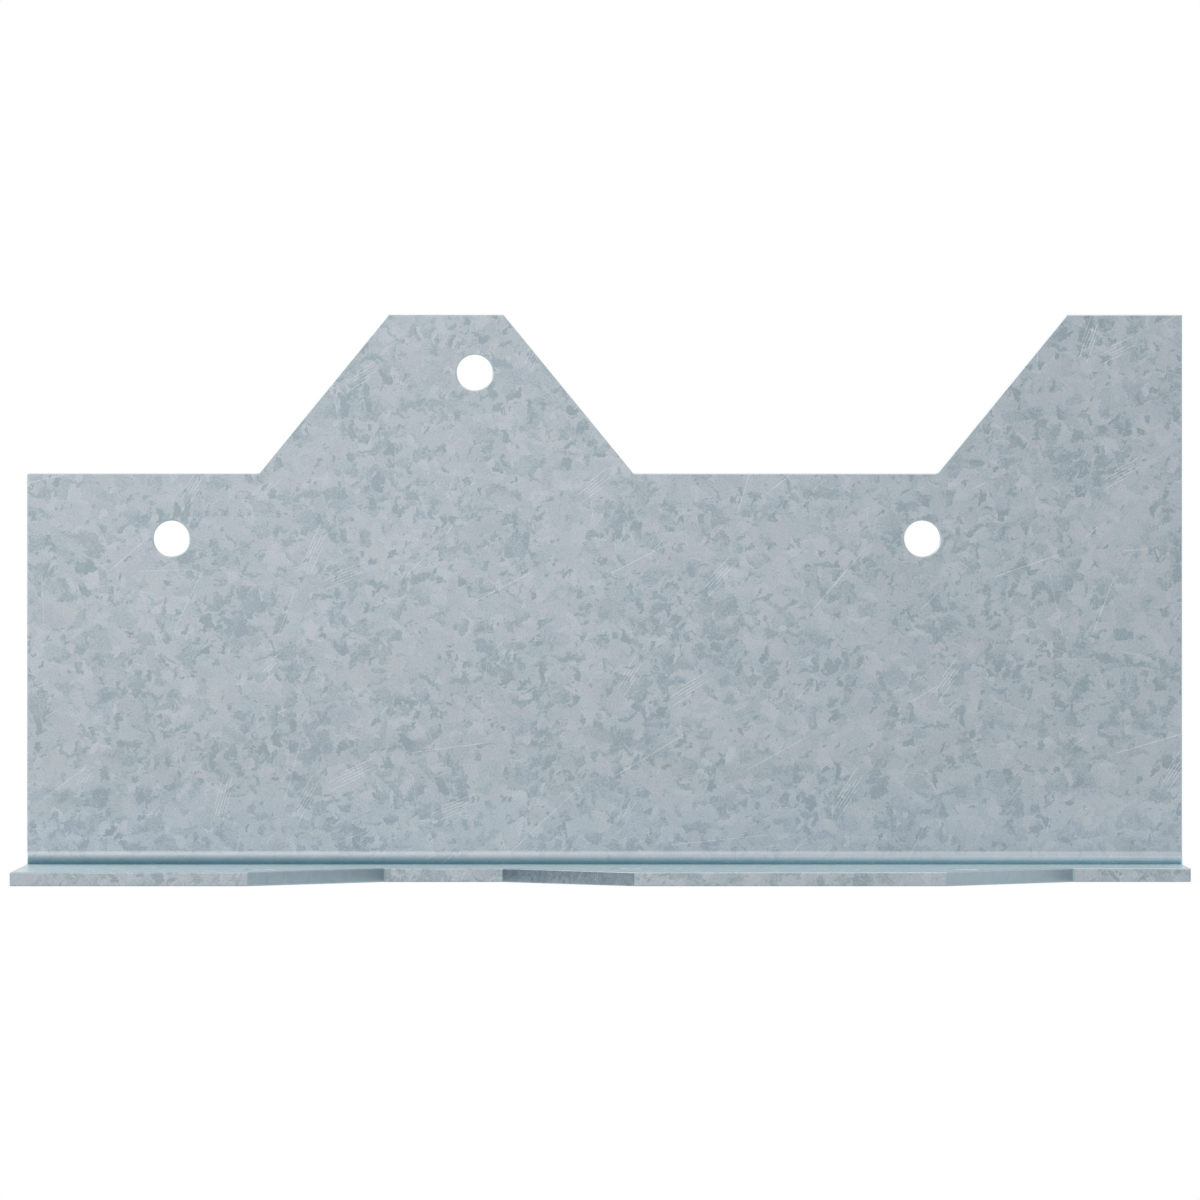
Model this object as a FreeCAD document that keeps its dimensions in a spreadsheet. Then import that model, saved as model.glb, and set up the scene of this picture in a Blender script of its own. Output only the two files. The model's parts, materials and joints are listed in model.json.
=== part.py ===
import FreeCAD, Part
import os

import Sketcher

# Reinforcing angle: one piece of galvanised sheet steel, sheared, punched with nail holes and folded.
# Millimetres. +X runs along the fold, +Y from the base leg's free edge to the upright leg, and +Z up.
# The origin is under the middle of the part's box, so the base leg lies on the plane z = 0.
# One zigzag cut shears the free edges of both legs: where one leg has a tooth, the other has a notch.
# Lengths along the fold start at the left end, and those across it at the heel, the outer corner of the fold.

NODE = "reinforcing_angle"

# Each size has an alias, its value and what it measures.
SIZES = (
    ("length", 127.0, "along the fold"),
    ("thickness", 1.519, "of the sheet, 16 gauge with its zinc"),
    ("bend_radius", 1.5, "inside the fold"),
    ("upright_low", 44.45, "heel to the floor of a notch, on the upright leg"),
    ("base_low", 19.05, "heel to the floor of a notch, on the base leg"),
    ("tooth_rise", 17.4625, "floor of a notch to the end of a tooth, on both legs"),
    ("tooth_run", 14.2875, "slanting flank of a tooth, measured along the fold"),
    ("upright_tooth", 12.7, "flat end of a tooth on the upright leg"),
    ("base_tooth", 33.3375, "flat end of a tooth on the base leg"),
    ("first_tooth", 39.6875, "left end to the flat end of the upright leg's first tooth"),
    ("hole_diameter", 3.96875, "of a nail hole"),
    ("tooth_margin", 6.35, "end of a tooth to the hole in it"),
    ("notch_margin", 7.14375, "floor of a notch to the hole under it"),
    ("upright_hole_left", 15.875, "left end to the hole under the upright leg's first notch"),
    ("upright_hole_tooth", 49.2125, "left end to the hole in the upright leg's first tooth"),
    ("upright_hole_right", 98.425, "left end to the hole under the upright leg's second notch"),
    ("base_hole_left", 26.5, "left end to the base leg's first hole"),
    ("base_hole_middle", 66.1, "left end to the base leg's second hole"),
    ("base_hole_right", 102.5, "left end to the base leg's third hole"),
    ("base_depth_left", 25.4, "heel to the base leg's first hole"),
    ("base_depth_middle", 21.5, "heel to the base leg's second hole"),
    ("base_depth_right", 24.0, "heel to the base leg's third hole"),
    ("edge_radius", 0.15, "rounding of the sheared edges"),
    ("rim_break", 0.15, "bevel of the hole rims"),
)

# Expressions that several features share.
BASE_REACH = "Sizes.base_low + Sizes.tooth_rise"
UPRIGHT_REACH = "Sizes.upright_low + Sizes.tooth_rise"
LEFT_END = "-Sizes.length / 2"
HEEL = f"({BASE_REACH}) / 2"
PITCH = "Sizes.upright_tooth + Sizes.base_tooth + 2 * Sizes.tooth_run"
SECOND_NOTCH = "Sizes.first_tooth + Sizes.upright_tooth + Sizes.tooth_run"
UNDER_NOTCH = "Sizes.upright_low - Sizes.notch_margin"
IN_TOOTH = f"{UPRIGHT_REACH} - Sizes.tooth_margin"

# The zigzag meets this length twice on each leg.
NOTCHES = 2

ORIGIN = (-1, 1)
ACROSS = -1
UPWARD = -2
START = 1
END = 2
CENTRE = 3


def make_sheet(doc):
    """The spreadsheet of driving sizes."""
    sheet = doc.addObject("Spreadsheet::Sheet", "Sizes")
    for row, (alias, value, meaning) in enumerate(SIZES, start=1):
        sheet.set(f"A{row}", meaning)
        sheet.set(f"B{row}", str(value))
        sheet.setAlias(f"B{row}", alias)
    doc.recompute()
    return sheet


def make_sketch(body, name, role, turn, offset):
    """A sketch on an origin plane, turned about one of the plane's axes and moved by expressions."""
    sketch = body.newObject("Sketcher::SketchObject", name)
    plane = next(f for f in body.Origin.OriginFeatures if f.Role == role)
    sketch.AttachmentSupport = (plane, [""])
    sketch.MapMode = "FlatFace"
    sketch.AttachmentOffset = FreeCAD.Placement(FreeCAD.Vector(), turn)
    for axis, expression in offset.items():
        sketch.setExpression(f"AttachmentOffset.Base.{axis}", expression)
    return sketch


def value_of(sketch, expression):
    """What an expression comes to, as a plain number."""
    return float(sketch.evalExpression(expression))


def dimension(sketch, kind, where, expression):
    """A dimension of the sketch that follows an expression."""
    index = sketch.addConstraint(Sketcher.Constraint(kind, *where, value_of(sketch, expression)))
    sketch.setExpression(f"Constraints[{index}]", expression)


def place(sketch, point, x, y):
    """Dimensions from the sketch's origin to a point."""
    dimension(sketch, "DistanceX", (*ORIGIN, *point), x)
    dimension(sketch, "DistanceY", (*ORIGIN, *point), y)


def add_line(sketch, start, end):
    """A line between two (x, y) pairs."""
    return sketch.addGeometry(Part.LineSegment(FreeCAD.Vector(*start, 0), FreeCAD.Vector(*end, 0)))


def add_bend(sketch, centre, radius):
    """The quarter circle of the fold, from the base leg's side to the upright leg's side."""
    circle = Part.Circle(FreeCAD.Vector(*centre, 0), FreeCAD.Vector(0, 0, 1), radius)
    half_turn = FreeCAD.Units.Quantity("180 deg").getValueAs("rad").Value
    return sketch.addGeometry(Part.ArcOfCircle(circle, half_turn, 1.5 * half_turn))


def relate(sketch, kind, *where):
    """A constraint with no value."""
    sketch.addConstraint(Sketcher.Constraint(kind, *where))


def draw_section(body):
    """The folded sheet's section: the heel is at the sketch's origin and the base leg points along its x."""
    turn = FreeCAD.Rotation(FreeCAD.Vector(0, 1, 0), 180)
    sketch = make_sketch(body, "section", "YZ_Plane", turn, {"x": HEEL})
    wall = value_of(sketch, "Sizes.thickness")
    inner = value_of(sketch, "Sizes.bend_radius")
    outer = inner + wall
    depth = value_of(sketch, BASE_REACH)
    height = value_of(sketch, UPRIGHT_REACH)

    back = add_line(sketch, (0, height), (0, outer))
    heel = add_bend(sketch, (outer, outer), outer)
    underside = add_line(sketch, (outer, 0), (depth, 0))
    free_edge = add_line(sketch, (depth, 0), (depth, wall))
    floor = add_line(sketch, (depth, wall), (outer, wall))
    throat = add_bend(sketch, (outer, outer), inner)
    front = add_line(sketch, (wall, outer), (wall, height))
    top = add_line(sketch, (wall, height), (0, height))

    relate(sketch, "Tangent", back, END, heel, START)
    relate(sketch, "Tangent", heel, END, underside, START)
    relate(sketch, "Coincident", underside, END, free_edge, START)
    relate(sketch, "Coincident", free_edge, END, floor, START)
    relate(sketch, "Tangent", floor, END, throat, END)
    relate(sketch, "Tangent", throat, START, front, START)
    relate(sketch, "Coincident", front, END, top, START)
    relate(sketch, "Coincident", top, END, back, START)
    relate(sketch, "Coincident", heel, CENTRE, throat, CENTRE)
    for line in (underside, top):
        relate(sketch, "Horizontal", line)
    for line in (back, free_edge):
        relate(sketch, "Vertical", line)
    relate(sketch, "PointOnObject", back, START, UPWARD)
    relate(sketch, "PointOnObject", underside, END, ACROSS)
    dimension(sketch, "Distance", (top,), "Sizes.thickness")
    dimension(sketch, "Distance", (free_edge,), "Sizes.thickness")
    dimension(sketch, "Radius", (throat,), "Sizes.bend_radius")
    dimension(sketch, "DistanceX", (*ORIGIN, underside, END), BASE_REACH)
    dimension(sketch, "DistanceY", (*ORIGIN, back, START), UPRIGHT_REACH)
    return sketch


def draw_leg(body, name, leg):
    """An empty sketch over a leg: x runs from the left end along the fold, y from the heel across the leg."""
    if leg == "upright":
        turn = FreeCAD.Rotation()
        return make_sketch(body, name, "XZ_Plane", turn, {"x": LEFT_END})
    turn = FreeCAD.Rotation(FreeCAD.Vector(1, 0, 0), 180)
    return make_sketch(body, name, "XY_Plane", turn, {"x": LEFT_END, "y": HEEL})


def draw_notch(body, leg, low, start, flat):
    """A notch with slanting flanks, from its floor out to the leg's free edge."""
    sketch = draw_leg(body, f"{leg}_notch_outline", leg)
    left = value_of(sketch, start)
    right = left + value_of(sketch, flat)
    run = value_of(sketch, "Sizes.tooth_run")
    near = value_of(sketch, low)
    far = near + value_of(sketch, "Sizes.tooth_rise")

    floor = add_line(sketch, (left, near), (right, near))
    after = add_line(sketch, (right, near), (right + run, far))
    mouth = add_line(sketch, (right + run, far), (left - run, far))
    before = add_line(sketch, (left - run, far), (left, near))
    sides = (floor, after, mouth, before)
    for here, following in zip(sides, sides[1:] + sides[:1]):
        relate(sketch, "Coincident", here, END, following, START)
    relate(sketch, "Horizontal", floor)
    relate(sketch, "Horizontal", mouth)
    relate(sketch, "Equal", before, after)
    place(sketch, (floor, START), start, low)
    dimension(sketch, "Distance", (floor,), flat)
    dimension(sketch, "DistanceX", (after, START, after, END), "Sizes.tooth_run")
    dimension(sketch, "DistanceY", (after, START, after, END), "Sizes.tooth_rise")
    return sketch


def draw_holes(body, leg, centres):
    """The nail holes of a leg, as circles."""
    sketch = draw_leg(body, f"{leg}_hole_outlines", leg)
    radius = value_of(sketch, "Sizes.hole_diameter / 2")
    for x, y in centres:
        centre = FreeCAD.Vector(value_of(sketch, x), value_of(sketch, y), 0)
        hole = sketch.addGeometry(Part.Circle(centre, FreeCAD.Vector(0, 0, 1), radius))
        place(sketch, (hole, CENTRE), x, y)
        dimension(sketch, "Diameter", (hole,), "Sizes.hole_diameter")
    return sketch


def check_cut(body, feature, volume):
    """Makes a cut the body's tip and sees that it took something away."""
    body.Tip = feature
    body.Document.recompute()
    if not feature.Shape.Volume < volume:
        raise RuntimeError(f"{feature.Label} cuts nothing")


def cut_through(body, sketch, name):
    """Cuts a sketch's outlines through the leg that it lies over."""
    volume = body.Shape.Volume
    cut = body.newObject("PartDesign::Pocket", name)
    cut.Profile = sketch
    cut.Type = "ThroughAll"
    cut.SideType = "Symmetric"
    check_cut(body, cut, volume)
    return cut


def repeat_notch(body, leg, cut, backwards):
    """Repeats a notch at the pitch of the zigzag, towards the left end or away from it."""
    volume = body.Shape.Volume
    pattern = body.newObject("PartDesign::LinearPattern", f"{leg}_notches")
    pattern.Originals = [cut]
    pattern.Direction = (cut.Profile[0], ["H_Axis"])
    pattern.Reversed = backwards
    pattern.Mode = "Spacing"
    pattern.Occurrences = NOTCHES
    pattern.setExpression("Offset", PITCH)
    check_cut(body, pattern, volume)


def skin_edges(shape, thickness, heel, closed):
    """Names of the edges where either skin of the sheet ends: closed ones at the holes, open ones outside."""

    def on_skin(face):
        box = face.BoundBox
        flat = isinstance(face.Surface, Part.Plane)
        folded = isinstance(face.Surface, Part.Cylinder) and box.XLength > box.YLength + box.ZLength
        low_lying = flat and box.ZLength < thickness / 2 and box.ZMax < 1.5 * thickness
        at_back = flat and box.YLength < thickness / 2 and box.YMin > heel - 1.5 * thickness
        return folded or low_lying or at_back

    skins = [face for face in shape.Faces if on_skin(face)]
    names = []
    for number, edge in enumerate(shape.Edges, start=1):
        owners = [skin for skin in skins if any(edge.isSame(other) for other in skin.Edges)]
        if len(owners) == 1 and edge.isClosed() == closed:
            names.append(f"Edge{number}")
    return names


def dress_edges(body, kind, name, closed, size_name, size):
    """Rounds or bevels the edges of both skins, at the holes or along the outline."""
    base = body.Tip
    dressing = body.newObject(f"PartDesign::{kind}", name)
    thickness = value_of(dressing, "Sizes.thickness")
    heel = value_of(dressing, HEEL)
    dressing.Base = (base, skin_edges(base.Shape, thickness, heel, closed))
    dressing.setExpression(size_name, size)
    body.Tip = dressing
    body.Document.recompute()


def make_angle(doc):
    """The folded sheet, its two zigzag edges and its nail holes."""
    body = doc.addObject("PartDesign::Body", NODE)
    body.Label = NODE
    body.Placement = FreeCAD.Placement()

    folded = body.newObject("PartDesign::Pad", "folded_sheet")
    folded.Profile = draw_section(body)
    folded.SideType = "Symmetric"
    folded.setExpression("Length", "Sizes.length")
    body.Tip = folded
    doc.recompute()

    outline = draw_notch(body, "upright", "Sizes.upright_low", SECOND_NOTCH, "Sizes.base_tooth")
    repeat_notch(body, "upright", cut_through(body, outline, "upright_notch"), backwards=True)
    outline = draw_notch(body, "base", "Sizes.base_low", "Sizes.first_tooth", "Sizes.upright_tooth")
    repeat_notch(body, "base", cut_through(body, outline, "base_notch"), backwards=False)

    upright_holes = (
        ("Sizes.upright_hole_left", UNDER_NOTCH),
        ("Sizes.upright_hole_tooth", IN_TOOTH),
        ("Sizes.upright_hole_right", UNDER_NOTCH),
    )
    base_holes = (
        ("Sizes.base_hole_left", "Sizes.base_depth_left"),
        ("Sizes.base_hole_middle", "Sizes.base_depth_middle"),
        ("Sizes.base_hole_right", "Sizes.base_depth_right"),
    )
    cut_through(body, draw_holes(body, "upright", upright_holes), "upright_holes")
    cut_through(body, draw_holes(body, "base", base_holes), "base_holes")
    dress_edges(body, "Chamfer", "hole_rims", True, "Size", "Sizes.rim_break")
    dress_edges(body, "Fillet", "sheared_edges", False, "Radius", "Sizes.edge_radius")
    return body


def check_document(doc, body):
    """Stops if any object failed or the body isn't one sound solid."""
    for item in doc.Objects:
        if "Invalid" in item.State or "Error" in item.State:
            raise RuntimeError(f"{item.Label} failed: {item.State}")
    if body.Shape.isNull() or not body.Shape.isValid():
        raise RuntimeError(f"{body.Label} has no valid shape")
    if len(body.Shape.Solids) != 1:
        raise RuntimeError(f"{body.Label} has {len(body.Shape.Solids)} solids")


def main():
    doc = FreeCAD.newDocument("ReinforcingAngle")
    make_sheet(doc)
    body = make_angle(doc)
    doc.recompute()
    check_document(doc, body)
    os.makedirs("parts", exist_ok=True)
    body.Shape.exportStep(os.path.join("parts", f"{body.Label}.step"))
    box = body.Shape.BoundBox
    print(f"{body.Label}: {box.XLength:.3f} x {box.YLength:.3f} x {box.ZLength:.3f} mm,")
    print(f"{body.Shape.Volume:.1f} cubic mm, {len(body.Shape.Faces)} faces")


main()
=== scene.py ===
"""Looks of the reinforcing angle: one folded sheet of galvanised steel on a pale floor, in metres."""

import json
import math
from collections import namedtuple

import bpy
from mathutils import Matrix, Vector
from mathutils.geometry import delaunay_2d_cdt


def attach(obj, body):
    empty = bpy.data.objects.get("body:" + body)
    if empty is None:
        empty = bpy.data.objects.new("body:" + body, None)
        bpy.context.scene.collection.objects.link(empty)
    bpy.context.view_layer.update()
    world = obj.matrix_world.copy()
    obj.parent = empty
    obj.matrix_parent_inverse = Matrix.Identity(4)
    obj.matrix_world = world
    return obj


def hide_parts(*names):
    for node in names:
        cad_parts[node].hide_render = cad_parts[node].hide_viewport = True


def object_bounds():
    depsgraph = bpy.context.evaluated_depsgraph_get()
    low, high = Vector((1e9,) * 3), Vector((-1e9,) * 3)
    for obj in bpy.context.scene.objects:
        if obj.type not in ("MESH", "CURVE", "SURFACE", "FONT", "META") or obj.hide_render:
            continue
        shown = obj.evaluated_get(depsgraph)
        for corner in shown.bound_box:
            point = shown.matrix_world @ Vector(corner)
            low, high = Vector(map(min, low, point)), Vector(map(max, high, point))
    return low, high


MM = 0.001
NODE = "reinforcing_angle"

# The sheet and its fold, and how far its edges, its corners in plan and the hollows between its teeth are
# rounded.
THICKNESS = 1.519 * MM
BEND_RADIUS = 1.5 * MM
EDGE_RADIUS = 0.13 * MM
CORNER_RADIUS = 0.15 * MM
HOLLOW_RADIUS = 0.45 * MM

# The zigzag that shears both free edges. Lengths along the fold start at the left end.
TOOTH_RISE = 17.4625 * MM
TOOTH_RUN = 14.2875 * MM
UPRIGHT_TOOTH = 12.7 * MM
BASE_TOOTH = 33.3375 * MM
FIRST_TOOTH = 39.6875 * MM

# How finely the round stretches are divided.
BEND_STEPS = 24
EDGE_STEPS = 5
CORNER_STEPS = 6
HOLE_STEPS = 72

# How a flat skin is split into triangles: those inside its borders, to a tolerance in millimetres. Of the
# rings that border it, the outline comes first.
INSIDE = 1
SPLIT_TOLERANCE = 1e-6
OUTLINE_RING = 0

# What the mesh carries for its material: the place on the flat sheet, the painted highlight on an edge's rim
# from 0 to 1, and the painted light of a cut edge by its slant, from -1, shaded, to 1, lit. The outer skin
# lies this many lengths beside the inner one, so that the two differ.
SHEET_MAP = "sheet"
RIM_HIGHLIGHT = "wear"
SLANT_LIGHT = "shear"
OUTER_LENGTHS = 1.5

# Halfway from 0 to 1, the same for three numbers, and no tint at all.
HALF = 0.5
MIDDLE = (HALF, HALF, HALF)
PLAIN = (1.0, 1.0, 1.0)

# Zinc crystals, in millimetres. Their places ripple: how many ripples to the millimetre and how far each
# reaches, and the ripples' detail.
RIPPLES = [(0.45, 1.7), (1.8, 0.7), (5.0, 0.25)]
RIPPLE_DETAIL = 1.0

# Tones run from 0, dark, to 1, light: the middle of each kind of crystal, and how far it spreads by chance.
GROUND = (0.46, 0.80)
LIGHT = (0.62, 0.44)
MID = (0.34, 0.30)
DARK = (0.08, 0.26)

# Layers of crystals, each over the one before: the cell, how it measures distance, the least reach of a
# crystal in cells, the random spare reach, how soft its border is, its tones, and how its reach sways with
# the clusters. The first layer covers the sheet.
CRYSTAL_LAYERS = [
    (1.7, "EUCLIDEAN", 3.0, 0.0, 0.10, GROUND, 0.0),
    (3.2, "MANHATTAN", 0.05, 0.75, 0.06, MID, -0.7),
    (2.8, "EUCLIDEAN", 0.02, 0.44, 0.06, LIGHT, 0.5),
    (2.1, "CHEBYCHEV", -0.12, 0.46, 0.05, DARK, -0.7),
    (1.8, "CHEBYCHEV", 0.00, 0.36, 0.06, LIGHT, 0.5),
    (1.4, "MANHATTAN", -0.30, 0.78, 0.06, DARK, -0.9),
    (0.9, "EUCLIDEAN", -0.36, 0.62, 0.08, DARK, -0.7),
]

# Each layer is turned and moved on from the one before, in cells, and its crystals are longer than wide.
LAYER_TURN = math.radians(28)
CRYSTAL_START = (3.1, 0.0)
CRYSTAL_STEP = (7.3, 2.7)
CRYSTAL_STRETCH = (0.74, 1.35, 1.0)

# A crystal fades out on one side of its middle, and has its own hue (spread of red, green and blue) and lean.
CRYSTAL_FADE = (-0.20, 0.02)
CRYSTAL_HUE = (0.03, 0.01, 0.03)
CRYSTAL_LEAN = 0.02

# Clusters of crystals, the fine grain and the hatching of each crystal: how many to the millimetre, how much
# finer detail they hold, and how far they sway the tone. The grain stands up a little, in millimetres.
CLUSTER_SCALE = 0.13
CLUSTER_DETAIL = 2.0
CLUSTER = 0.06
GRAIN_SCALE = 4.5
GRAIN_DETAIL = 2.0
GRAIN_ROUGHNESS = 0.7
GRAIN = 0.98
GRAIN_RELIEF = 0.003
HATCH_SCALE = 1.0
HATCH_STRETCH = (0.6, 5.0, 1.0)
HATCH_DETAIL = 1.0
HATCH = 0.35

# The fold rubs the crystals towards one tone. Its soft borders are a share of the way round the bend.
RUB = 0.7
RUBBED_TONE = 0.42
RUB_FADE = 0.16

# Painted light, which multiplies the colour: painted shade low inside the bend, by shares of the way round
# it, and painted light thrown up by the base leg just above the bend, by heights in millimetres.
CREASE_SHADE = (0.79, 1.05, 1.11, 1.0)
CREASE_RISE = (0.38, 0.58)
CREASE_FALL = (0.85, 1.0)
FOLD_BOUNCE_LIGHT = (1.05, 1.07, 1.085, 1.0)
FOLD_RISE = (-0.4, 0.2)
FOLD_FALL = (1.0, 10.0)

# Cut edges: how far their rims take a painted highlight, how far a cut edge with painted light turns to one
# tone, and the tints of painted light and of painted shade on cut edges by their slant.
RIM_HIGHLIGHT_STRENGTH = 0.7
LIT_SLANT_EVEN = 0.8
LIT_SLANT_TONE = 0.42
LIT_SLANT_TINT = (0.97, 1.04, 1.045, 1.0)
SHADED_SLANT_TINT = (0.84, 0.89, 0.91, 1.0)

# The zinc's colours by tone, its gloss, and the bloom that lightens it at a low angle.
ZINC_TONES = [
    (0.0, (0.247, 0.313, 0.350)),
    (0.4, (0.341, 0.398, 0.436)),
    (0.75, (0.389, 0.433, 0.470)),
    (1.0, (0.414, 0.456, 0.494)),
]
METALLIC = 0.93
DARK_ROUGHNESS = 0.24
LIGHT_ROUGHNESS = 0.28
BLOOM = 0.55
BLOOM_ROUGHNESS = 0.22
BLOOM_TINT = (0.69, 0.92, 1.0, 1.0)

# Scratches, in millimetres and degrees turned to radians: the cell, the greatest half length, the half width,
# the share of cells that have one, the way it leans, how far that spreads, and for those that lie side by
# side their pitch and count.
SCRATCH_LAYERS = [
    (15.0, 6.5, 0.040, 0.75, math.radians(25), math.radians(50), 1.0, 1),
    (10.0, 4.5, 0.032, 0.60, math.radians(70), math.radians(70), 1.0, 1),
    (6.0, 1.6, 0.032, 0.50, math.radians(20), math.radians(180), 1.0, 1),
    (12.0, 2.4, 0.035, 0.50, math.radians(50), math.radians(60), 0.32, 5),
]

# Each layer of scratches is moved on from the one before, in cells. Scratches side by side slide along by a
# share of their half length, to and fro with this stagger in radians, and all taper over a share of it. They
# show bright zinc by a share, and their depth is in millimetres.
SCRATCH_START = (1.3, 0.4)
SCRATCH_STEP = (3.7, 5.1)
SCRATCH_STAGGER = 2.4
SCRATCH_SLIDE = 0.4
SCRATCH_TAPER = 0.25
SCRATCH_SHARE = 0.55
SCRATCH_DEPTH = 0.004

# Bare bright zinc in the scratches, and the painted highlight on the edge rims.
BRIGHT_ZINC_AND_HIGHLIGHT = (0.64, 0.67, 0.70, 1.0)

# The studio's light by direction: overhead, from square to this axis, which leans forward, to along it; and
# sideways, from the far left to the far right.
OVERHEAD_LEAN = math.radians(10)
OVERHEAD_AXIS = (0.0, -math.sin(OVERHEAD_LEAN), math.cos(OVERHEAD_LEAN))
OVERHEAD_LIGHT = [
    (0.0, (1.0, 1.0, 1.0)),
    (0.174, (1.0, 1.0, 1.0)),
    (0.515, (1.53, 1.43, 1.40)),
    (0.743, (1.15, 1.14, 1.12)),
    (0.92, (0.88, 0.96, 0.96)),
    (0.973, (0.58, 0.72, 0.74)),
    (1.0, (0.32, 0.53, 0.60)),
]
SIDE_LIGHT = [
    (0.0, (0.58, 0.63, 0.64)),
    (0.07, (0.62, 0.66, 0.67)),
    (0.13, (1.20, 1.20, 1.20)),
    (0.24, (1.58, 1.66, 1.66)),
    (0.36, (1.50, 1.57, 1.57)),
    (0.42, (1.02, 1.02, 1.02)),
    (0.47, (1.0, 1.0, 1.0)),
    (0.535, (1.0, 1.0, 1.0)),
    (0.56, (0.84, 0.85, 0.86)),
    (0.60, (0.72, 0.75, 0.76)),
    (0.70, (0.58, 0.635, 0.65)),
    (0.84, (0.58, 0.63, 0.645)),
    (0.90, (0.80, 0.87, 0.88)),
    (1.0, (0.86, 0.93, 0.94)),
]

# Soft lamps: name, place, the way they face, width and height, and level. Level 1 is this many watts a
# square metre.
LAMPS = [
    ("front_lamp", (-0.215, -0.45, 0.20), (0, 1, 0), (0.48, 0.40), 0.29),
    ("top_lamp", (0.17, -0.16, 0.35), (0, 0, -1), (0.30, 0.38), 0.45),
]
LAMP_COLOUR = (1.0, 0.88, 0.82)
LAMP_WATTS = 4

# The floor: half its width, its colour where light falls on it, and the share of white where it is seen.
FLOOR_HALF = 6.0
FLOOR_COLOUR = (0.9, 0.9, 0.9, 1.0)
FLOOR_GLOW = 0.95

# The camera stands level in front of the upright leg, far off. Its sensor and lens are in millimetres.
CAMERA_X = -0.504 * MM
CAMERA_HEIGHT = 30.552 * MM
CAMERA_TO_UPRIGHT = 1188.19 * MM
CAMERA_REACH = 20.0
SENSOR = 36.0
LENS = 324.23

# Where a Mix node keeps its colours, which share their names with its other sockets.
FIRST_COLOUR = 6
SECOND_COLOUR = 7
MIXED_COLOUR = 2

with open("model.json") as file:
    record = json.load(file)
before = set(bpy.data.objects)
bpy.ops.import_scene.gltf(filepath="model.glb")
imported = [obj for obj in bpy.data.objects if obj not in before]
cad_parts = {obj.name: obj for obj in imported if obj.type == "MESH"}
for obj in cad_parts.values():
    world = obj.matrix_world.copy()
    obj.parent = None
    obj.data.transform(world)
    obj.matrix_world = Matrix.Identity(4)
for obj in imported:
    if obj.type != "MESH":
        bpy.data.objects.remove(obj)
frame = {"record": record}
cad_low, cad_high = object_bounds()

# The sheet's ends and heel, and its flat outline: across is 0 at the top of the bend.
LEFT_END = cad_low.x
RIGHT_END = cad_high.x
HEEL = cad_high.y
INNER_FACE = HEEL - THICKNESS
BEND_TOP = THICKNESS + BEND_RADIUS
BEND_FRONT = HEEL - BEND_TOP
BEND_ARC = BEND_RADIUS * math.pi / 2
UPRIGHT_HIGH = cad_high.z - BEND_TOP
UPRIGHT_LOW = UPRIGHT_HIGH - TOOTH_RISE
BASE_LONG = -BEND_ARC - (cad_high.y - cad_low.y - BEND_TOP)
BASE_SHORT = BASE_LONG + TOOTH_RISE
OUTER_SHIFT = Vector((OUTER_LENGTHS * (RIGHT_END - LEFT_END), 0.0))

# A corner of a face: its vertex number, normal, place on the flat sheet, and the painted rim highlight and
# slant light there.
Corner = namedtuple("Corner", "vertex normal place wear shear", defaults=(0.0, 0.0))


def fold(across, along=0.0, depth=0.0):
    """A point of the flat sheet, folded. across is 0 at the top of the bend, up the upright leg and then
    down round the bend and out along the base leg; depth goes from the inner skin to the outer one."""
    if across >= 0:
        return Vector((along, INNER_FACE + depth, BEND_TOP + across))
    if across <= -BEND_ARC:
        return Vector((along, BEND_FRONT + BEND_ARC + across, THICKNESS - depth))
    turn = -across / BEND_RADIUS
    radius = BEND_RADIUS + depth
    return Vector((along, BEND_FRONT + radius * math.cos(turn), BEND_TOP - radius * math.sin(turn)))


def folded_direction(across, direction):
    """A direction of the flat sheet (along, across, depth), turned with the fold."""
    turn = min(max(-across / BEND_RADIUS, 0.0), math.pi / 2)
    along, up, inward = direction
    y = up * math.sin(turn) + inward * math.cos(turn)
    z = up * math.cos(turn) - inward * math.sin(turn)
    return Vector((along, y, z))


class Loop:
    """A closed outline with the sheet on its left: its points on the flat sheet, and the way out at each."""

    def __init__(self, rows):
        self.points = [row[0] for row in rows]
        self.outs = [row[1] for row in rows]

    def shifted(self, distance):
        """The outline moved into the sheet by a distance."""
        return [point - out * distance for point, out in zip(self.points, self.outs)]


def rounded(path):
    """A path with the sheet on its left, with each corner between its ends turned into a small arc."""
    path = [Vector(p) for p in path]
    rows = []
    for before, corner, after in zip(path, path[1:], path[2:]):
        inward = (corner - before).normalized()
        onward = (after - corner).normalized()
        turn = math.atan2(inward.cross(onward), inward.dot(onward))
        radius = CORNER_RADIUS if turn > 0 else HOLLOW_RADIUS
        start = corner - inward * (radius * math.tan(abs(turn) / 2))
        first_out = Vector((inward.y, -inward.x))
        bulge = math.copysign(radius, turn)
        centre = start - first_out * bulge
        for i in range(CORNER_STEPS + 1):
            out = Matrix.Rotation(turn * i / CORNER_STEPS, 2) @ first_out
            rows.append((centre + out * bulge, out))
    return rows


def zigzag(low, high):
    """(along, across) points of a free edge, from the left end to the right one."""
    first = LEFT_END + FIRST_TOOTH
    second = first + UPRIGHT_TOOTH + BASE_TOOTH + 2 * TOOTH_RUN
    return [
        (LEFT_END, low),
        (first - TOOTH_RUN, low),
        (first, high),
        (first + UPRIGHT_TOOTH, high),
        (first + UPRIGHT_TOOTH + TOOTH_RUN, low),
        (second - TOOTH_RUN, low),
        (second, high),
        (RIGHT_END, high),
    ]


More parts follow.
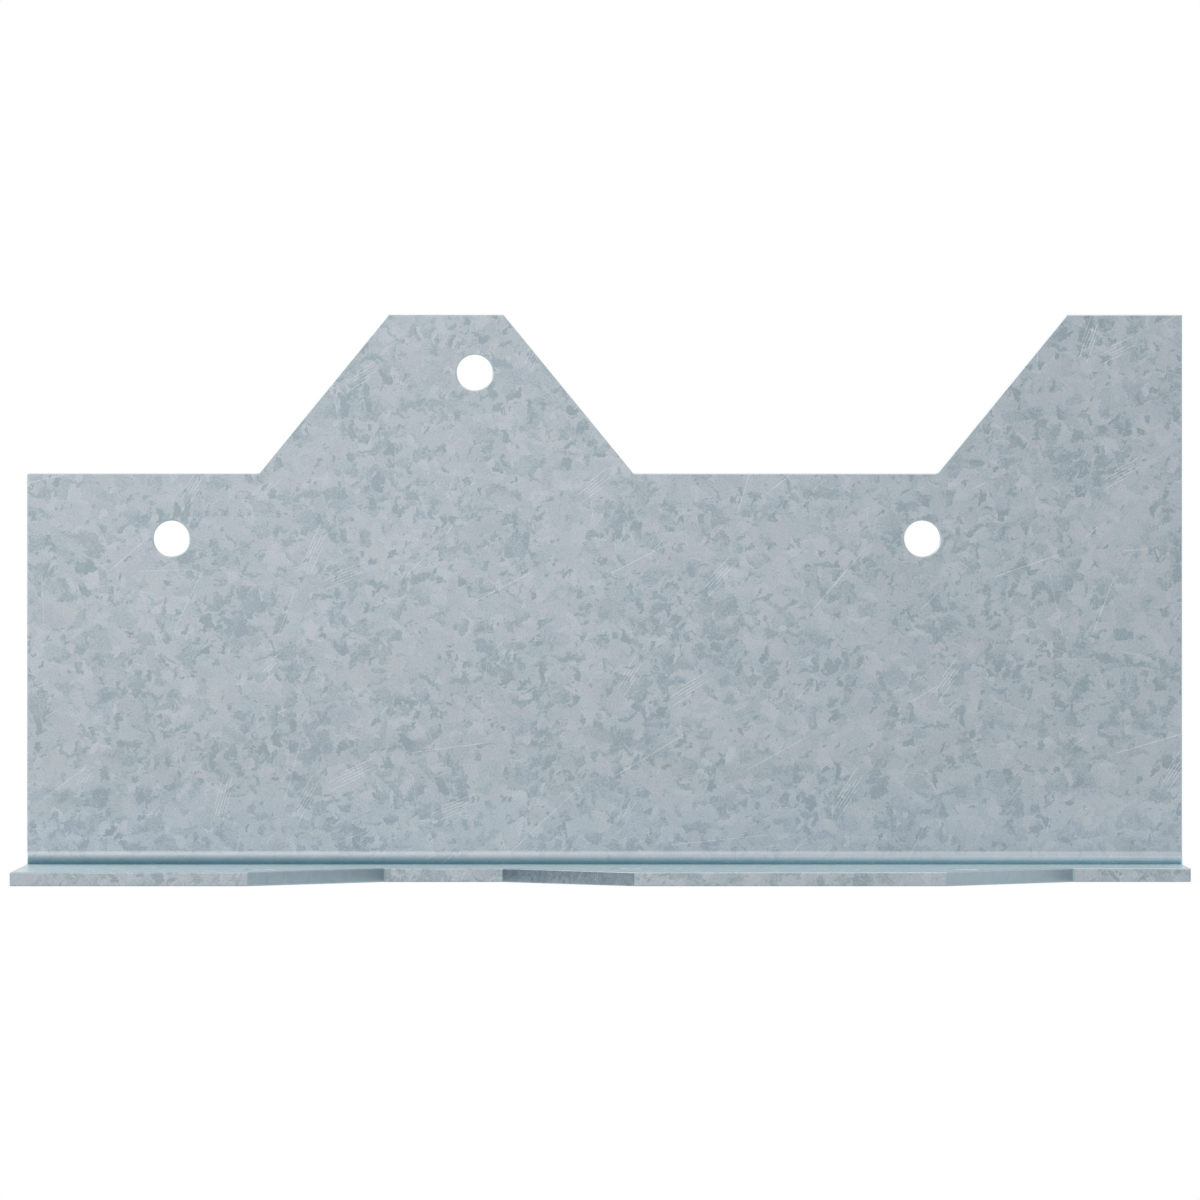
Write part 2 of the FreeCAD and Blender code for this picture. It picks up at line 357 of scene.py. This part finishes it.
def hole_loops():
    """The nail holes, read from the record's mounts: those of the upright leg, then those of the base leg."""
    upright, base = [], []
    for mount in frame["record"]["mounts"]:
        if mount["kind"] != "bore":
            continue
        x, y, z = mount["pos_m"]
        _, axis_y, axis_z = mount["axis"]
        on_upright = abs(axis_y) > abs(axis_z)
        across = z - BEND_TOP if on_upright else y - BEND_FRONT - BEND_ARC
        radius = mount["dims"]["r_mm"] * MM
        centre = Vector((x, across))
        rows = []
        for i in range(HOLE_STEPS):
            angle = -math.tau * i / HOLE_STEPS
            spoke = Vector((math.cos(angle), math.sin(angle)))
            rows.append((centre + radius * spoke, -spoke))
        (upright if on_upright else base).append(Loop(rows))
    return upright, base


def edge_profile():
    """(distance into the sheet, depth, share of the way out, share of depth in the normal) across an edge."""
    rows = []
    for i in range(EDGE_STEPS + 1):
        angle = math.pi / 2 * i / EDGE_STEPS
        inset = EDGE_RADIUS * (1 - math.sin(angle))
        rows.append((inset, EDGE_RADIUS * (1 - math.cos(angle)), math.sin(angle), -math.cos(angle)))
    for inset, depth, out, inward in reversed(rows[:]):
        rows.append((inset, THICKNESS - depth, out, -inward))
    return rows


def part(skin, chosen):
    """Some of the vertex numbers and points of a skin's border."""
    numbers, points = skin
    return [numbers[i] for i in chosen], [points[i] for i in chosen]


class SheetMesh:
    """Gathers the faces of the folded sheet."""

    def __init__(self):
        self.vertices = []
        self.faces = []
        self.corners = []

    def add_ring(self, points, depth):
        """Folds a closed outline at a depth and returns its vertex numbers."""
        start = len(self.vertices)
        self.vertices.extend(fold(p.y, p.x, depth) for p in points)
        return list(range(start, start + len(points)))

    def add_face(self, corners):
        """A face, by its corners in order."""
        self.faces.append([c.vertex for c in corners])
        self.corners.extend(corners)

    def add_edge(self, loop, punched=False):
        """The cut edge round an outline, with a painted highlight on its rim at the inner skin. It has
        painted light round a punched hole and where it slants one way, and painted shade where it slants the
        other way. Returns its rings on the inner and outer skins."""
        profile = edge_profile()
        shifted = [loop.shifted(row[0]) for row in profile]
        rings = [self.add_ring(points, row[1]) for points, row in zip(shifted, profile)]
        count = len(loop.points)

        def corner(level, number):
            out = loop.outs[number]
            _, depth, share_out, share_in = profile[level]
            point = shifted[level][number]
            direction = (out.x * share_out, out.y * share_out, share_in)
            # A painted highlight on the rim at the inner skin; painted light where the edge slants one way
            # and round punched holes, painted shade where it slants the other way.
            wear = 2 * share_out * max(-share_in, 0.0)
            shear = 1.0 if punched else -2 * out.x * out.y
            normal = folded_direction(point.y, direction)
            return Corner(rings[level][number], normal, point + out * depth, wear, shear)

        for level in range(len(profile) - 1):
            for number in range(count):
                after = (number + 1) % count
                self.add_face([
                    corner(level, number),
                    corner(level + 1, number),
                    corner(level + 1, after),
                    corner(level, after),
                ])
        skin = shifted[0]
        return (rings[0], skin), (rings[-1], skin)

    def add_skin_face(self, numbers, points, outer):
        """A face of the inner or outer skin, given so that it faces out of the inner one."""
        inward = 1.0 if outer else -1.0
        corners = []
        for number, point in zip(numbers, points):
            normal = folded_direction(point.y, (0.0, 0.0, inward))
            corners.append(Corner(number, normal, point + OUTER_SHIFT if outer else point))
        self.add_face(corners[::-1] if outer else corners)

    def add_plate(self, outline, holes, outer):
        """The flat skin of a leg: an outline and its holes, each as (vertex numbers, points)."""
        numbers, points, borders, rings = [], [], [], []
        for ring, (ring_numbers, ring_points) in enumerate([outline, *holes]):
            start = len(points)
            count = len(ring_points)
            borders.extend((start + i, start + (i + 1) % count) for i in range(count))
            numbers.extend(ring_numbers)
            points.extend(ring_points)
            rings.extend([ring] * count)
        flat = [p / MM for p in points]
        _, _, triangles, origins, *_ = delaunay_2d_cdt(flat, borders, [], INSIDE, SPLIT_TOLERANCE)
        for triangle in triangles:
            order = [origins[i][0] for i in triangle]
            touched = {rings[i] for i in order}
            in_hole = len(touched) == 1 and OUTLINE_RING not in touched
            if not in_hole:
                self.add_skin_face(*part((numbers, points), order), outer)

    def build(self, name):
        """The Blender object."""
        mesh = bpy.data.meshes.new(name)
        mesh.from_pydata(self.vertices, [], self.faces)
        layer = mesh.uv_layers.new(name=SHEET_MAP)
        layer.uv.foreach_set("vector", [value for c in self.corners for value in c.place])
        wear = [c.wear for c in self.corners]
        shear = [c.shear for c in self.corners]
        for title, values in ((RIM_HIGHLIGHT, wear), (SLANT_LIGHT, shear)):
            mesh.attributes.new(title, "FLOAT", "CORNER").data.foreach_set("value", values)
        mesh.polygons.foreach_set("use_smooth", [True] * len(self.faces))
        mesh.normals_split_custom_set([c.normal for c in self.corners])
        mesh.validate()
        piece = bpy.data.objects.new(name, mesh)
        bpy.context.scene.collection.objects.link(piece)
        return piece


def make_angle():
    """The folded sheet, with rounded edges, a smooth bend and round holes."""
    stations = [-BEND_ARC * (1 - i / BEND_STEPS) for i in range(BEND_STEPS + 1)]
    right_bend = [(Vector((RIGHT_END, s)), Vector((1.0, 0.0))) for s in stations]
    left_bend = [(Vector((LEFT_END, s)), Vector((-1.0, 0.0))) for s in reversed(stations)]
    base_path = zigzag(BASE_LONG, BASE_SHORT)
    upright_path = zigzag(UPRIGHT_LOW, UPRIGHT_HIGH)[::-1]
    base_edge = rounded([left_bend[-1][0], *base_path, right_bend[0][0]])
    upright_edge = rounded([right_bend[-1][0], *upright_path, left_bend[0][0]])
    outline = Loop(base_edge + right_bend + upright_edge + left_bend)
    last = len(outline.points) - 1
    right_from = len(base_edge)
    upright_from = right_from + len(right_bend)
    left_from = upright_from + len(upright_edge)
    base_part = [*range(right_from + 1), last]
    upright_part = range(upright_from - 1, left_from + 1)

    sheet = SheetMesh()
    upright_holes, base_holes = hole_loops()
    skins = sheet.add_edge(outline)
    upright_rims = [sheet.add_edge(loop, punched=True) for loop in upright_holes]
    base_rims = [sheet.add_edge(loop, punched=True) for loop in base_holes]
    for outer in (False, True):
        skin = skins[outer]
        sheet.add_plate(part(skin, base_part), [rim[outer] for rim in base_rims], outer)
        sheet.add_plate(part(skin, upright_part), [rim[outer] for rim in upright_rims], outer)
        for i in range(BEND_STEPS):
            right = right_from + i
            left = last - i
            sheet.add_skin_face(*part(skin, (right, right + 1, left - 1, left)), outer)
    return sheet.build("folded_sheet")


class Graph:
    """Short ways to add nodes to a tree. A value given to them is a socket, a number or a vector."""

    def __init__(self, tree):
        self.tree = tree

    def add(self, kind, **settings):
        node = self.tree.nodes.new(kind)
        for name, value in settings.items():
            setattr(node, name, value)
        return node

    def feed(self, socket, value):
        if isinstance(value, bpy.types.NodeSocket):
            self.tree.links.new(value, socket)
        else:
            socket.default_value = value

    def put(self, kind, values, **settings):
        """A node with values for its first sockets. Returns its outputs."""
        node = self.add(kind, **settings)
        for socket, value in zip(node.inputs, values):
            self.feed(socket, value)
        return node.outputs

    def math(self, operation, *values):
        return self.put("ShaderNodeMath", values, operation=operation)["Value"]

    def vector(self, operation, *values):
        return self.put("ShaderNodeVectorMath", values, operation=operation)["Vector"]

    def dot(self, *values):
        return self.put("ShaderNodeVectorMath", values, operation="DOT_PRODUCT")["Value"]

    def parts(self, vector):
        return self.put("ShaderNodeSeparateXYZ", [vector])

    def split(self, colour):
        return self.put("ShaderNodeSeparateColor", [colour])

    def attribute(self, name):
        return self.add("ShaderNodeAttribute", attribute_name=name).outputs["Fac"]

    def scaled(self, vector, scale):
        node = self.add("ShaderNodeVectorMath", operation="SCALE")
        self.feed(node.inputs["Vector"], vector)
        self.feed(node.inputs["Scale"], scale)
        return node.outputs["Vector"]

    def turned(self, vector, angle):
        node = self.add("ShaderNodeVectorRotate", rotation_type="Z_AXIS")
        self.feed(node.inputs["Vector"], vector)
        self.feed(node.inputs["Angle"], angle)
        return node.outputs["Vector"]

    def mix(self, share, first, second):
        node = self.add("ShaderNodeMix", data_type="FLOAT")
        self.feed(node.inputs["Factor"], share)
        self.feed(node.inputs["A"], first)
        self.feed(node.inputs["B"], second)
        return node.outputs["Result"]

    def tint(self, share, first, second, blend="MIX"):
        node = self.add("ShaderNodeMix", data_type="RGBA", blend_type=blend)
        self.feed(node.inputs["Factor"], share)
        self.feed(node.inputs[FIRST_COLOUR], first)
        self.feed(node.inputs[SECOND_COLOUR], second)
        return node.outputs[MIXED_COLOUR]

    def rise(self, value, low, high):
        """0 up to low, 1 from high on, and a smooth step between."""
        node = self.add("ShaderNodeMapRange", interpolation_type="SMOOTHSTEP")
        self.feed(node.inputs["Value"], value)
        self.feed(node.inputs["From Min"], low)
        self.feed(node.inputs["From Max"], high)
        return node.outputs["Result"]

    def band(self, value, rising, falling):
        """0, up to 1 over a rising stretch and down to 0 over a falling one."""
        fall = self.math("SUBTRACT", 1.0, self.rise(value, *falling))
        return self.math("MULTIPLY", self.rise(value, *rising), fall)

    def noise(self, vector, scale, detail, roughness=HALF):
        node = self.add("ShaderNodeTexNoise", noise_dimensions="2D")
        self.feed(node.inputs["Vector"], vector)
        self.feed(node.inputs["Scale"], scale)
        self.feed(node.inputs["Detail"], detail)
        self.feed(node.inputs["Roughness"], roughness)
        return node.outputs

    def cells(self, vector, metric="EUCLIDEAN"):
        node = self.add("ShaderNodeTexVoronoi", voronoi_dimensions="2D", distance=metric)
        self.feed(node.inputs["Vector"], vector)
        self.feed(node.inputs["Scale"], 1.0)
        return node.outputs

    def ramp(self, value, stops):
        node = self.add("ShaderNodeValToRGB")
        elements = node.color_ramp.elements
        while len(elements) < len(stops):
            elements.new(HALF)
        for element, (place, colour) in zip(elements, stops):
            element.position = place
            element.color = (*colour, 1.0)
        self.feed(node.inputs["Fac"], value)
        return node.outputs["Color"]


def layer_shift(number, start, step):
    """How far a layer of cells is moved, so that no two layers fall together."""
    return (step[0] * number + start[0], step[1] * number + start[1], 0.0)


def ripple(graph, place, scale, reach):
    """A smooth random shift of a place."""
    wave = graph.noise(place, scale, RIPPLE_DETAIL)["Color"]
    return graph.scaled(graph.vector("SUBTRACT", wave, MIDDLE), reach)


def spangle(graph, sheet):
    """Light and dark zinc crystals that overlap, at a place on the flat sheet in millimetres: a tone
    from 0 to 1, and a random colour for each crystal."""
    bent = sheet
    for scale, reach in RIPPLES:
        bent = graph.vector("ADD", bent, ripple(graph, sheet, scale, reach))
    cluster = graph.noise(sheet, CLUSTER_SCALE, CLUSTER_DETAIL)["Fac"]
    cluster = graph.math("SUBTRACT", cluster, HALF)
    tone = HALF
    chance = (*MIDDLE, 1.0)
    for i, (cell, metric, least, spare, soft, (middle, spread), sway) in enumerate(CRYSTAL_LAYERS):
        turned = graph.turned(graph.scaled(bent, 1 / cell), i * LAYER_TURN)
        shift = layer_shift(i, CRYSTAL_START, CRYSTAL_STEP)
        shifted = graph.vector("MULTIPLY_ADD", turned, CRYSTAL_STRETCH, shift)
        layer = graph.cells(shifted, metric)
        colour = layer["Color"]
        random = graph.split(colour)
        reach = graph.math("MULTIPLY_ADD", random[0], spare, least)
        reach = graph.math("MULTIPLY_ADD", cluster, sway, reach)
        inside = graph.rise(graph.math("SUBTRACT", reach, layer["Distance"]), 0.0, soft)
        away = graph.vector("SUBTRACT", shifted, layer["Position"])
        side = graph.dot(away, graph.vector("SUBTRACT", colour, MIDDLE))
        cover = graph.math("MULTIPLY", inside, graph.rise(side, *CRYSTAL_FADE))
        own = graph.math("MULTIPLY_ADD", random[1], spread, middle - spread / 2)
        tone = graph.mix(cover, tone, own)
        chance = graph.tint(cover, chance, colour)
    tone = graph.math("MULTIPLY_ADD", cluster, CLUSTER, tone)
    return tone, chance


def hatching(graph, sheet, chance):
    """Fine lines across each crystal, each its own way, around 0."""
    turn = graph.math("MULTIPLY", graph.split(chance)[2], math.tau)
    turned = graph.turned(sheet, turn)
    stretched = graph.vector("MULTIPLY", turned, HATCH_STRETCH)
    lines = graph.noise(stretched, HATCH_SCALE, HATCH_DETAIL)["Fac"]
    return graph.math("SUBTRACT", lines, HALF)


def scratches(graph, sheet):
    """Thin straight scratches, from 0 to 1, at a place on the flat sheet in millimetres."""
    marks = 0.0
    for i, (cell, half, width, share, lean, spread, pitch, count) in enumerate(SCRATCH_LAYERS):
        shift = layer_shift(i, SCRATCH_START, SCRATCH_STEP)
        shifted = graph.vector("ADD", graph.scaled(sheet, 1 / cell), shift)
        layer = graph.cells(shifted)
        random = graph.split(layer["Color"])
        away = graph.scaled(graph.vector("SUBTRACT", shifted, layer["Position"]), cell)
        turn = graph.math("MULTIPLY_ADD", random[0], -spread, spread / 2 - lean)
        along, across, _ = graph.parts(graph.turned(away, turn))
        number = graph.math("ROUND", graph.math("DIVIDE", across, pitch))
        stagger = graph.math("SINE", graph.math("MULTIPLY", number, SCRATCH_STAGGER))
        slid = graph.math("ABSOLUTE", graph.math("MULTIPLY_ADD", stagger, half * SCRATCH_SLIDE, along))
        length = graph.math("MULTIPLY", random[2], half)
        run = graph.rise(graph.math("SUBTRACT", length, slid), 0.0, half * SCRATCH_TAPER)
        aside = graph.math("PINGPONG", across, pitch / 2)
        core = graph.rise(graph.math("SUBTRACT", width, aside), 0.0, width)
        bundle = graph.math("LESS_THAN", graph.math("ABSOLUTE", across), pitch * count / 2)
        core = graph.math("MULTIPLY", core, bundle)
        there = graph.math("LESS_THAN", random[1], share)
        mark = graph.math("MULTIPLY", graph.math("MULTIPLY", run, core), there)
        marks = graph.math("MAXIMUM", marks, mark)
    return marks


def bend_rub_and_painted_light(graph, sheet):
    """Three shares: where the fold has rubbed the crystals smooth, the painted shade low inside it, and the
    painted light thrown up by the base leg just above it."""
    along, across, _ = graph.parts(sheet)
    way_round = graph.math("DIVIDE", across, -BEND_ARC / MM)
    rubbed = graph.band(way_round, (-RUB_FADE, RUB_FADE), (1 - RUB_FADE, 1 + RUB_FADE))
    middle = (LEFT_END + RIGHT_END) / 2
    inner = graph.math("COMPARE", along, middle / MM, (RIGHT_END - middle) / MM)
    # Painted shade low inside the bend, along its whole length.
    crease = graph.math("MULTIPLY", graph.band(way_round, CREASE_RISE, CREASE_FALL), inner)
    return rubbed, crease, graph.band(across, FOLD_RISE, FOLD_FALL)


def make_zinc():
    """Spangled zinc with a satin gloss: overlapping crystals with grain and hatching, rubbed in the bend and
    evened on the lit cut edges, with painted shade in the crease, painted light above the fold, painted light
    and shade on the cut edges by their slant, bright scratches and a painted highlight on the edge rims."""
    material = bpy.data.materials.new("spangled_zinc")
    material.use_nodes = True
    graph = Graph(material.node_tree)
    shader = material.node_tree.nodes["Principled BSDF"]
    shader.inputs["Metallic"].default_value = METALLIC
    shader.inputs["Sheen Weight"].default_value = BLOOM
    shader.inputs["Sheen Roughness"].default_value = BLOOM_ROUGHNESS
    shader.inputs["Sheen Tint"].default_value = BLOOM_TINT

    sheet = graph.scaled(graph.add("ShaderNodeUVMap", uv_map=SHEET_MAP).outputs["UV"], 1 / MM)
    marks = scratches(graph, sheet)
    rubbed, crease, beside = bend_rub_and_painted_light(graph, sheet)
    # Painted light and shade on the cut edges by their slant: smooth holds the lit share, the next line the
    # shaded share.
    shear = graph.attribute(SLANT_LIGHT)
    smooth = graph.math("MAXIMUM", shear, 0.0)
    shaded_slant = graph.math("MAXIMUM", graph.math("MULTIPLY", shear, -1.0), 0.0)

    tone, chance = spangle(graph, sheet)
    grain = graph.noise(sheet, GRAIN_SCALE, GRAIN_DETAIL, GRAIN_ROUGHNESS)["Fac"]
    tone = graph.math("MULTIPLY_ADD", graph.math("SUBTRACT", grain, HALF), GRAIN, tone)
    tone = graph.math("MULTIPLY_ADD", hatching(graph, sheet, chance), HATCH, tone)
    tone = graph.mix(graph.math("MULTIPLY", rubbed, RUB), tone, RUBBED_TONE)
    # Cut edges with painted light are evened to one tone.
    tone = graph.mix(graph.math("MULTIPLY", smooth, LIT_SLANT_EVEN), tone, LIT_SLANT_TONE)
    graph.feed(shader.inputs["Roughness"], graph.mix(tone, DARK_ROUGHNESS, LIGHT_ROUGHNESS))

    apart = graph.vector("SUBTRACT", chance, MIDDLE)
    hue = graph.vector("MULTIPLY_ADD", apart, CRYSTAL_HUE, PLAIN)
    colour = graph.tint(1.0, graph.ramp(tone, ZINC_TONES), hue, "MULTIPLY")
    # Painted shade in the crease, painted light thrown up above the fold, and painted light and shade on the
    # cut edges.
    painted_light_tints = [(crease, CREASE_SHADE), (beside, FOLD_BOUNCE_LIGHT), (smooth, LIT_SLANT_TINT), (shaded_slant, SHADED_SLANT_TINT)]
    for share, light_tint in painted_light_tints:
        colour = graph.tint(share, colour, light_tint, "MULTIPLY")
    # Bare bright zinc in the scratches, and a painted highlight on the edge rims.
    for share, most in ((marks, SCRATCH_SHARE), (graph.attribute(RIM_HIGHLIGHT), RIM_HIGHLIGHT_STRENGTH)):
        colour = graph.tint(graph.math("MULTIPLY", share, most), colour, BRIGHT_ZINC_AND_HIGHLIGHT)
    graph.feed(shader.inputs["Base Color"], colour)

    normal = graph.add("ShaderNodeNewGeometry").outputs["Normal"]
    lean = graph.scaled(apart, CRYSTAL_LEAN)
    leaning = graph.vector("NORMALIZE", graph.vector("ADD", normal, lean))
    raised = graph.math("MULTIPLY", grain, GRAIN_RELIEF)
    bump = graph.add("ShaderNodeBump")
    bump.inputs["Distance"].default_value = MM
    graph.feed(bump.inputs["Height"], graph.math("MULTIPLY_ADD", marks, -SCRATCH_DEPTH, raised))
    graph.feed(bump.inputs["Normal"], leaning)
    graph.feed(shader.inputs["Normal"], bump.outputs["Normal"])
    return material


def make_camera():
    """A level camera with a long lens, looking along +Y."""
    data = bpy.data.cameras.new("camera")
    data.sensor_width = SENSOR
    data.lens = LENS
    data.clip_end = CAMERA_REACH
    camera = bpy.data.objects.new("camera", data)
    camera.location = (CAMERA_X, INNER_FACE - CAMERA_TO_UPRIGHT, CAMERA_HEIGHT)
    camera.rotation_euler = (math.pi / 2, 0.0, 0.0)
    bpy.context.scene.collection.objects.link(camera)
    bpy.context.scene.camera = camera


def make_floor():
    """A wide floor, white where it is seen or mirrored, that keeps the object's shadow."""
    mesh = bpy.data.meshes.new("floor")
    low, high = -FLOOR_HALF, FLOOR_HALF
    mesh.from_pydata([(low, low, 0), (high, low, 0), (high, high, 0), (low, high, 0)], [], [(0, 1, 2, 3)])
    floor = bpy.data.objects.new("floor", mesh)
    bpy.context.scene.collection.objects.link(floor)

    material = bpy.data.materials.new("white_floor")
    material.use_nodes = True
    material.node_tree.nodes.clear()
    graph = Graph(material.node_tree)
    path = graph.add("ShaderNodeLightPath").outputs
    seen = graph.math("MAXIMUM", path["Is Camera Ray"], path["Is Glossy Ray"])
    seen = graph.math("MAXIMUM", seen, path["Is Transmission Ray"])
    diffuse = graph.put("ShaderNodeBsdfDiffuse", [FLOOR_COLOUR])["BSDF"]
    glow = graph.add("ShaderNodeEmission").outputs["Emission"]
    share = graph.math("MULTIPLY", seen, FLOOR_GLOW)
    mixed = graph.put("ShaderNodeMixShader", [share, diffuse, glow])["Shader"]
    graph.put("ShaderNodeOutputMaterial", [mixed])
    mesh.materials.append(material)


def make_world():
    """A pale studio: white at eye level, brightest a little above it and to the left of the front, and greyer
    overhead and towards both sides."""
    world = bpy.data.worlds.new("studio")
    bpy.context.scene.world = world
    world.use_nodes = True
    graph = Graph(world.node_tree)
    direction = graph.add("ShaderNodeTexCoord").outputs["Generated"]
    overhead = graph.ramp(graph.dot(direction, OVERHEAD_AXIS), OVERHEAD_LIGHT)
    x, _, z = graph.parts(direction)
    level = graph.math("MULTIPLY", x, graph.math("SUBTRACT", 1.0, z))
    sides = graph.ramp(graph.math("MULTIPLY_ADD", level, HALF, HALF), SIDE_LIGHT)
    background = world.node_tree.nodes["Background"]
    graph.feed(background.inputs["Color"], graph.tint(1.0, overhead, sides, "MULTIPLY"))


def make_lamp(name, place, facing, size, level):
    """A soft lamp that the camera doesn't see."""
    data = bpy.data.lights.new(name, "AREA")
    data.shape = "RECTANGLE"
    data.size, data.size_y = size
    data.energy = LAMP_WATTS * level * size[0] * size[1]
    data.color = LAMP_COLOUR
    lamp = bpy.data.objects.new(name, data)
    lamp.location = place
    lamp.rotation_euler = Vector(facing).to_track_quat("-Z", "Y").to_euler()
    lamp.visible_camera = False
    bpy.context.scene.collection.objects.link(lamp)


angle = make_angle()
angle.data.materials.append(make_zinc())
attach(angle, "root")
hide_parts(NODE)

make_camera()
make_floor()
make_world()
for lamp_row in LAMPS:
    make_lamp(*lamp_row)

bpy.context.scene.view_settings.view_transform = "Standard"
